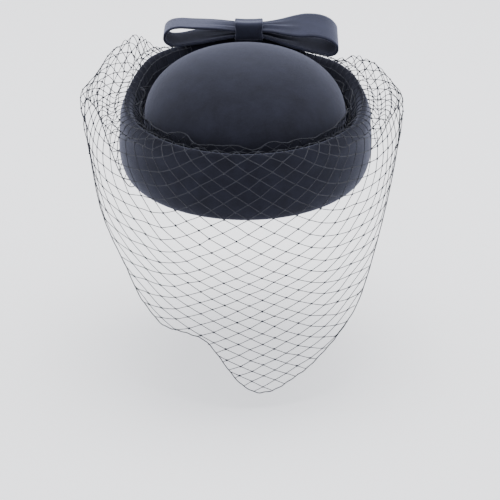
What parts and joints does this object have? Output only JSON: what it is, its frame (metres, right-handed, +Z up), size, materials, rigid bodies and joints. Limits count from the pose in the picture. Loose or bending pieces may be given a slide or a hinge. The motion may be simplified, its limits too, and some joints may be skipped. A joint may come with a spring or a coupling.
{
  "type": "fascinator headpiece",
  "caption": "Domed wool-felt pillbox hat with a deep turned-up cuff, a felt bow at the back and a birdcage veil that lifts off the face.",
  "frame": {"origin": "centre of the oval head opening, in the plane of the hat's bottom rim", "axes": "+Z up the crown's axis, away from the head; the face and the front of the veil are towards -Y; +X to the right of someone who looks at the hat's front"},
  "size_m": [0.2596, 0.2437, 0.2358],
  "materials": {
    "felt": "matte",
    "bow_felt": "matte",
    "netting": "matte",
    "grosgrain": "matte",
    "satin": "satin",
    "thread": "matte",
    "comb_plastic": "gloss",
    "wire": "satin"
  },
  "bodies": {
    "hat": {"crown": "felt", "cuff": "felt", "cuff_wire": "wire", "wire_joiner": "wire", "sweatband": "grosgrain", "care_label": "satin", "comb_stitch_left": "thread", "comb_stitch_right": "thread", "bow_loop_left": "bow_felt", "bow_loop_right": "bow_felt", "bow_knot": "bow_felt", "bow_stitch_left": "thread", "bow_stitch_right": "thread", "gathering_thread": "thread", "veil_heading": "netting", "veil_wing_left": "netting", "veil_wing_right": "netting", "veil_tack_1": "thread", "veil_tack_2": "thread", "veil_tack_3": "thread", "veil_tack_4": "thread", "veil_tack_5": "thread", "veil_tack_6": "thread"},
    "comb": {"side_comb": "comb_plastic"},
    "veil": {"veil_curtain": "netting"}
  },
  "joints": [
    {"name": "veil_lift", "type": "hinge", "parent": "hat", "child": "veil", "pos_m": [0, 0.022, 0.048], "axis": [-1, 0, 0], "range_deg": [0, 75]},
    {"name": "comb_tip", "type": "hinge", "parent": "hat", "child": "comb", "pos_m": [0, -0.0901, 0.01], "axis": [-1, 0, 0], "range_deg": [0, 40]}
  ]
}
